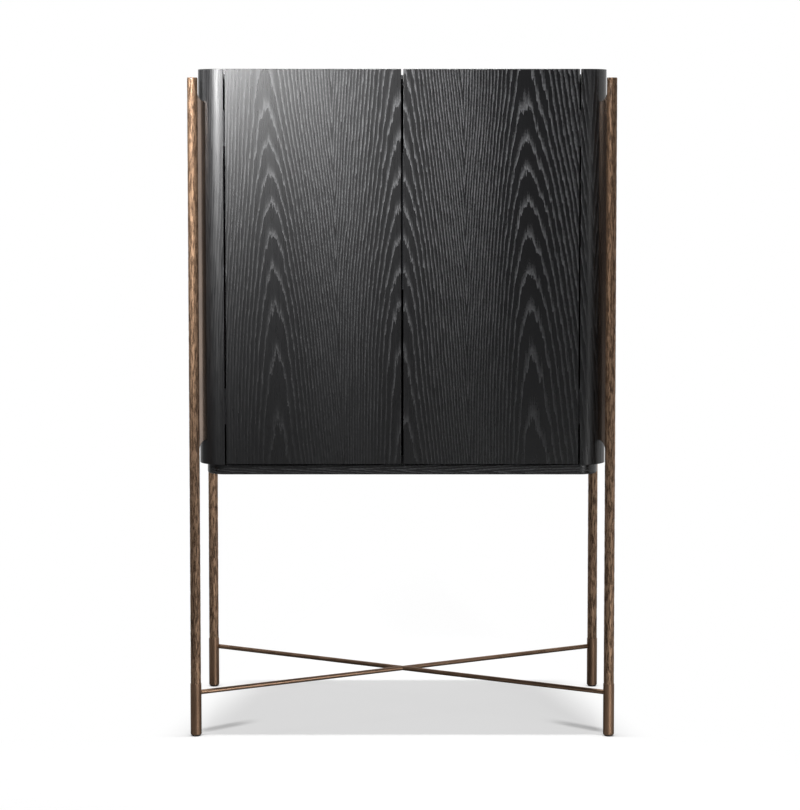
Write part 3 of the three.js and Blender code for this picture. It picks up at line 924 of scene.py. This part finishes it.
class CABINET_OT_legs(Operator):
    """Builds the four bark textured legs"""

    bl_idname = "cabinet.legs"
    bl_label = "Legs"

    def execute(self, context):
        bronze = context.scene.cabinet_bronze
        recipe = leg_recipe()
        for index, (corner, _, _) in enumerate(CORNERS):
            node = f"leg_{corner}"
            low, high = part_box(node)
            middle = (low + high) / 2
            foot_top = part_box(f"foot_{corner}")[1].z
            leg = recipe.bake(
                f"bark_leg_{corner}",
                axis=(middle.x, middle.y, 0.0), bottom=foot_top - bronze.leg_seat, top=high.z,
                radius=(high.x - low.x) / 2, relief=bronze.relief,
                seed=bronze.leg_seed * (index + 1), rows=bronze.leg_rows,
                sides=bronze.leg_sides, material=finish("rough_bronze"),
            )
            settle(leg, "rough_bronze", "root", node)
        return {"FINISHED"}


class CABINET_OT_feet(Operator):
    """Builds the smooth feet and paints the glides below them"""

    bl_idname = "cabinet.feet"
    bl_label = "Feet"

    def execute(self, context):
        bronze = context.scene.cabinet_bronze
        lower = bronze.foot_round
        upper = bronze.small_round
        for corner, _, _ in CORNERS:
            node = f"foot_{corner}"
            low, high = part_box(node)
            radius = (high.x - low.x) / 2
            profile = [(0.0, low.z)]
            middle = (radius - lower, low.z + lower)
            profile += arc(middle, lower, -QUARTER, 0.0, steps=6)
            middle = (radius - upper, high.z - upper)
            profile += arc(middle, upper, 0.0, QUARTER, steps=3)
            profile.append((0.0, high.z))
            shell = lathe(profile, sides=64, centre=(low + high) / 2)
            piece(f"sleeve_{corner}", shell, "smooth_bronze", "root", [node])
            repaint(f"glide_{corner}", "nylon")
        return {"FINISHED"}


class CABINET_OT_brackets(Operator):
    """Builds the brackets that hold the legs to the corner posts"""

    bl_idname = "cabinet.brackets"
    bl_label = "Leg Brackets"

    def execute(self, context):
        bronze = context.scene.cabinet_bronze
        radius = context.scene.cabinet_wood.corner_radius
        for corner, toward, out in CORNERS:
            node = f"leg_bracket_{corner}"
            low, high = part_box(node)
            leg_low, leg_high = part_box(f"leg_{corner}")
            axis = (leg_low + leg_high) / 2
            post_low, post_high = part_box(f"corner_post_{corner}")
            centre = Vector((
                out * (max(abs(post_low.x), abs(post_high.x)) - radius),
                toward * (max(abs(post_low.y), abs(post_high.y)) - radius),
            ))
            inward = centre - axis.xy
            shell = bracket_shell(
                low.z, high.z, (leg_high.x - leg_low.x) / 2, inward.length - radius
            )
            turn = Matrix.Rotation(math.atan2(inward.y, inward.x), 4, "Z")
            bmesh.ops.transform(
                shell, verts=shell.verts,
                matrix=Matrix.Translation((axis.x, axis.y, 0.0)) @ turn,
            )
            piece(
                f"bracket_{corner}", shell, "smooth_bronze", "root", [node],
                bronze.bracket_round, segments=4,
            )
        return {"FINISHED"}


def bracket_shell(bottom, top, leg_radius, reach):
    """A fin along x from a leg's axis, whose ends sweep up and down the leg."""
    bronze = bpy.context.scene.cabinet_bronze
    flare = bronze.bracket_flare
    into_leg = 0.003
    into_post = 0.004
    start = leg_radius - into_leg
    root = leg_radius + flare
    tip = reach + into_post
    outline = [(tip, top - flare)]
    outline += arc((root, top), flare, -QUARTER, -math.pi, steps=16)
    outline += [(start, top), (start, bottom)]
    outline += arc((root, bottom), flare, math.pi, QUARTER, steps=16)
    outline.append((tip, bottom + flare))
    shell = prism(outline, -bronze.bracket_thickness / 2, bronze.bracket_thickness / 2)
    bmesh.ops.transform(shell, verts=shell.verts, matrix=Matrix.Rotation(QUARTER, 4, "X"))
    return shell


class CABINET_OT_rods(Operator):
    """Builds the two rods that cross between the feet"""

    bl_idname = "cabinet.rods"
    bl_label = "Cross Rods"

    def execute(self, context):
        bronze = context.scene.cabinet_bronze
        recipe = rod_recipe()
        low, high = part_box("stretcher_long")
        height = (low.z + high.z) / 2
        radius = (high.z - low.z) / 2
        end_inset = Vector((0.002, 0.001))
        weld_share = 0.004
        reach = Vector((high.x - end_inset.x, high.y - end_inset.y, 0.0))
        lift = Vector((0.0, 0.0, height))
        across = Vector((reach.x, -reach.y, 0.0))
        for name, node, start, end in (
            ("rod_through", "stretcher_long", -reach, reach),
            ("rod_front_half", "stretcher_half_front", across, across * weld_share),
            ("rod_rear_half", "stretcher_half_rear", -across, -across * weld_share),
        ):
            rod = recipe.bake(
                name, start=start + lift, end=end + lift, radius=radius,
                flare=bronze.rod_flare, flare_length=bronze.flare_length,
                material=finish("smooth_bronze"),
            )
            settle(rod, "smooth_bronze", "root", node)
        return {"FINISHED"}


class CABINET_OT_inside(Operator):
    """Builds the mirror, glass rack, bottle cradle and catches, and paints the hinges"""

    bl_idname = "cabinet.inside"
    bl_label = "Inside Fittings"

    def execute(self, context):
        wood = context.scene.cabinet_wood
        bronze = context.scene.cabinet_bronze
        fitting = context.scene.cabinet_fitting
        piece(
            "cradle", merged("bottle_cradle"), "inner_ash", "root", ["bottle_cradle"],
            wood.inner_round, level_grain,
        )
        piece(
            "glass_rack", merged("stemware_rack"), "smooth_bronze", "root",
            ["stemware_rack"], bronze.small_round,
        )
        piece(
            "mirror", block(*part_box("mirror_panel")), "mirror_glass", "root",
            ["mirror_panel"], wood.inner_round,
        )
        for side in SIDES:
            for node, body in (
                (f"catch_magnet_{side}", "root"), (f"catch_strike_{side}", f"door_{side}"),
            ):
                piece(
                    f"{node}_block", block(*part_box(node)), "dark_steel", body, [node],
                    fitting.catch_round,
                )
            for level in ("lower", "upper"):
                repaint(f"hinge_post_leaf_{level}_{side}", "dark_steel")
                repaint(f"hinge_door_leaf_{level}_{side}", "dark_steel")
        return {"FINISHED"}


class CABINET_OT_screws(Operator):
    """Builds the rows of screws in the long hinge and in the bracket's plate"""

    bl_idname = "cabinet.screws"
    bl_label = "Screws"

    def execute(self, context):
        fitting = context.scene.cabinet_fitting
        recipe = screw_recipe()
        leaf_count, leaf_inset = 7, 0.0055
        plate_inset = Vector((0.0048, 0.002, 0.009))
        plate_step = 0.034
        low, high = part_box("shelf_hinge_fixed_leaf")
        moving_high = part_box("shelf_hinge_moving_leaf")[1]
        pin_low, pin_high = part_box("shelf_hinge_pin")
        pin = (pin_low + pin_high) / 2
        plate_low, plate_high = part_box("gate_plate")
        step = (high.x - low.x) / leaf_count
        first = low.x + step / 2
        on_fixed = (first, low.y + leaf_inset, pin.z)
        on_moving = (first, pin.y, moving_high.z - leaf_inset)
        on_plate = (
            plate_high.x - plate_inset.x, plate_low.y + plate_inset.y,
            plate_low.z + plate_inset.z,
        )
        for name, body, start, run, count, turn in (
            ("fixed_leaf", "door_right", on_fixed, (step, 0.0, 0.0), leaf_count, 0.0),
            ("moving_leaf", "fold_shelf", on_moving, (step, 0.0, 0.0), leaf_count, QUARTER),
            ("gate_plate", "door_right", on_plate, (0.0, 0.0, plate_step), 3, -QUARTER),
        ):
            row = recipe.bake(
                f"screws_{name}", start=start, step=run, count=count, turn=(turn, 0.0, 0.0),
                radius=fitting.screw_radius, rise=fitting.screw_rise,
                material=finish("dark_steel"),
            )
            settle(row, "dark_steel", body)
        return {"FINISHED"}


class CABINET_OT_stage(Operator):
    """Builds the floor, the lamps, the world and the camera"""

    bl_idname = "cabinet.stage"
    bl_label = "Stage"

    def execute(self, context):
        stage = context.scene.cabinet_stage
        half = stage.floor_size / 2
        mesh = bpy.data.meshes.new("floor")
        corners = [(-half, -half, 0), (half, -half, 0), (half, half, 0), (-half, half, 0)]
        mesh.from_pydata(corners, [], [(0, 1, 2, 3)])
        floor = bpy.data.objects.new("floor", mesh)
        context.scene.collection.objects.link(floor)
        material = bpy.data.materials.new("floor")
        material.use_nodes = True
        floor_shader(Tree(material.node_tree), stage.floor, stage.bounce)
        mesh.materials.append(material)
        world = bpy.data.worlds.new("studio")
        world.use_nodes = True
        context.scene.world = world
        world_shader(Tree(world.node_tree), stage.room)
        key = lamp(
            "key", stage.key, size=(0.75, 0.5), place=(-1.05, -2.02, 2.0),
            aim=(-0.45, -0.2, 1.58), spread=55.0,
        )
        lamp("fill", stage.fill, size=(0.5, 2.0), place=(2.2, -3.0, 0.9), aim=(0.0, 0.0, 0.6))
        lamp(
            "low", stage.low, size=(0.4, 0.8), place=(1.4, -2.4, 0.3),
            aim=(0.0, -0.2, -0.36), spread=44.0,
        )
        edge = lamp(
            "edge", stage.edge, size=(0.4, 0.9), place=(-2.6, -0.1, 2.0), aim=(-0.4, -0.1, 1.5)
        )
        lamp("top", stage.top, size=(1.6, 0.12), place=(0.0, -0.2, 12.0), aim=(0.0, 0.0, 0.0))
        flag((key, edge), "top_panel_board")
        data = bpy.data.cameras.new("camera")
        data.lens = stage.lens
        data.sensor_width = 36.0
        data.sensor_fit = "HORIZONTAL"
        data.shift_x = stage.shift_x
        data.shift_y = stage.shift_y
        camera = bpy.data.objects.new("camera", data)
        camera.location = stage.camera_place
        camera.rotation_euler = (QUARTER - stage.camera_pitch, 0.0, 0.0)
        context.scene.collection.objects.link(camera)
        context.scene.camera = camera
        context.scene.view_settings.view_transform = "Standard"
        return {"FINISHED"}


def lamp(name, energy, size, place, aim, spread=180.0):
    """A soft rectangular lamp that points at a spot and isn't seen itself."""
    data = bpy.data.lights.new(name, "AREA")
    data.spread = math.radians(spread)
    data.shape = "RECTANGLE"
    data.size, data.size_y = size
    data.energy = energy
    obj = bpy.data.objects.new(name, data)
    obj.location = place
    direction = Vector(aim) - Vector(place)
    obj.rotation_euler = direction.to_track_quat("-Z", "Y").to_euler()
    obj.visible_camera = False
    bpy.context.scene.collection.objects.link(obj)
    return obj


def flag(lamps, name):
    """Keeps the light of some lamps off one piece, as a photographer's flag does."""
    flagged = bpy.data.collections.new("flagged")
    flagged.objects.link(bpy.data.objects[name])
    flagged.collection_objects[0].light_linking.link_state = "EXCLUDE"
    for source in lamps:
        source.light_linking.receiver_collection = flagged


def shown(tree, direction):
    """Camera rays, and gloss rays that meet the pale wall behind and on the right."""
    camera, glossy, through = tree.node(
        "ShaderNodeLightPath", out=("Is Camera Ray", "Is Glossy Ray", "Is Transmission Ray")
    )
    x, y, _ = tree.split(direction)
    behind = (y + x * 0.55).eased(0.12, 0.42)
    return camera.at_least(through), glossy * behind


def foot_shade(x, y):
    """Two short soft painted shadows that run inwards and back from the front feet."""
    foot_x, foot_y = 0.4875, -0.2
    run_x, run_y = 0.8, 0.6
    inward = foot_x - abs(x)
    back = y - foot_y
    along = inward * run_x + back * run_y
    aside = abs(back * run_x - inward * run_y)
    strip = (1.0 - aside.eased(0.003, 0.027)) * along.eased(-0.02, 0.0)
    return strip * (1.0 - along.eased(0.09, 0.185))


def floor_shader(tree, tint, bounce):
    """A pale floor that keeps the shadow, with painted contact shade, two painted foot shadows
    and painted soft sides to the shadow, and runs out into white.
    """
    camera = tree.node("ShaderNodeLightPath", out="Is Camera Ray")
    place = tree.place()
    away = tree.node("ShaderNodeVectorMath", {0: place}, out="Value", operation="LENGTH")
    x, y, _ = tree.split(place)
    # Beside the cabinet and far from it the floor is painted white over any shadow, which gives
    # the shadow under the cabinet its painted soft sides
    beside = (abs(x) + y * 0.25).eased(0.375, 0.545) * y.eased(-0.52, -0.3)
    clear = beside.at_least(away.eased(0.8, 1.9))
    # Well in front of the cabinet it throws more light back
    ahead = (y * -1.0).eased(1.5, 4.0) * (1.0 - abs(x).eased(1.0, 2.5))
    # Painted contact shade: ambient occlusion darkens the floor close to the feet and other parts
    painted_contact_shade = tree.node("ShaderNodeAmbientOcclusion", {"Distance": 0.05}, out="AO")
    seen, mirrored = shown(tree, place)
    # Painted shade: lit is darkened by the painted contact shade and by the two painted foot
    # shadows
    lit = seen * (clear * 0.37 + 0.63) * painted_contact_shade.eased(0.1, 0.95) * (1.0 - foot_shade(x, y) * 0.48)
    factor = lit.at_least(mirrored * away.eased(1.8, 3.2))
    pale = tree.node("ShaderNodeBsdfPrincipled", {
        "Base Color": tree.blend(camera.at_least(ahead * 0.4), rgba(bounce), rgba(tint)),
        "Roughness": 0.9, "Specular IOR Level": 0.1,
    })
    white = tree.node("ShaderNodeEmission", {"Color": WHITE, "Strength": 1.0})
    mixed = tree.node("ShaderNodeMixShader", {0: factor, 1: pale, 2: white})
    tree.node("ShaderNodeOutputMaterial", {"Surface": mixed})


def world_shader(tree, room):
    """White behind the object, and a dim room in front of it."""
    direction = tree.node("ShaderNodeTexCoord", out="Generated")
    seen, mirrored = shown(tree, direction)
    tone = tree.blend(seen.at_least(mirrored), rgba(room), WHITE)
    light = tree.node("ShaderNodeBackground", {"Color": tone, "Strength": 1.0})
    tree.node("ShaderNodeOutputWorld", {"Surface": light})


class CABINET_PT_panel(Panel):
    """Lists the operators and settings in the sidebar"""

    bl_idname = "CABINET_PT_panel"
    bl_label = "Bar Cabinet"
    bl_space_type = "VIEW_3D"
    bl_region_type = "UI"
    bl_category = "Bar Cabinet"

    def draw(self, context):
        for operator in OPERATORS:
            self.layout.operator(operator.bl_idname)
        for name, group in SETTINGS.items():
            box = self.layout.box()
            box.label(text=group.__doc__)
            for key in group.__annotations__:
                box.prop(getattr(context.scene, name), key)


SETTINGS = {
    "cabinet_wood": WoodSettings,
    "cabinet_bronze": BronzeSettings,
    "cabinet_fitting": FittingSettings,
    "cabinet_stage": StageSettings,
}
OPERATORS = (
    CABINET_OT_case, CABINET_OT_doors, CABINET_OT_fold_shelf, CABINET_OT_legs,
    CABINET_OT_feet, CABINET_OT_brackets, CABINET_OT_rods, CABINET_OT_inside,
    CABINET_OT_screws, CABINET_OT_stage,
)


def register():
    for group in SETTINGS.values():
        bpy.utils.register_class(group)
    for operator in OPERATORS:
        bpy.utils.register_class(operator)
    bpy.utils.register_class(CABINET_PT_panel)
    for name, group in SETTINGS.items():
        setattr(bpy.types.Scene, name, PointerProperty(type=group))


def unregister():
    for name in SETTINGS:
        delattr(bpy.types.Scene, name)
    bpy.utils.unregister_class(CABINET_PT_panel)
    for operator in reversed(OPERATORS):
        bpy.utils.unregister_class(operator)
    for group in reversed(list(SETTINGS.values())):
        bpy.utils.unregister_class(group)


def main():
    register()
    bpy.ops.cabinet.case()
    bpy.ops.cabinet.doors()
    bpy.ops.cabinet.fold_shelf()
    bpy.ops.cabinet.legs()
    bpy.ops.cabinet.feet()
    bpy.ops.cabinet.brackets()
    bpy.ops.cabinet.rods()
    bpy.ops.cabinet.inside()
    bpy.ops.cabinet.screws()
    bpy.ops.cabinet.stage()


if __name__ == "__main__":
    main()
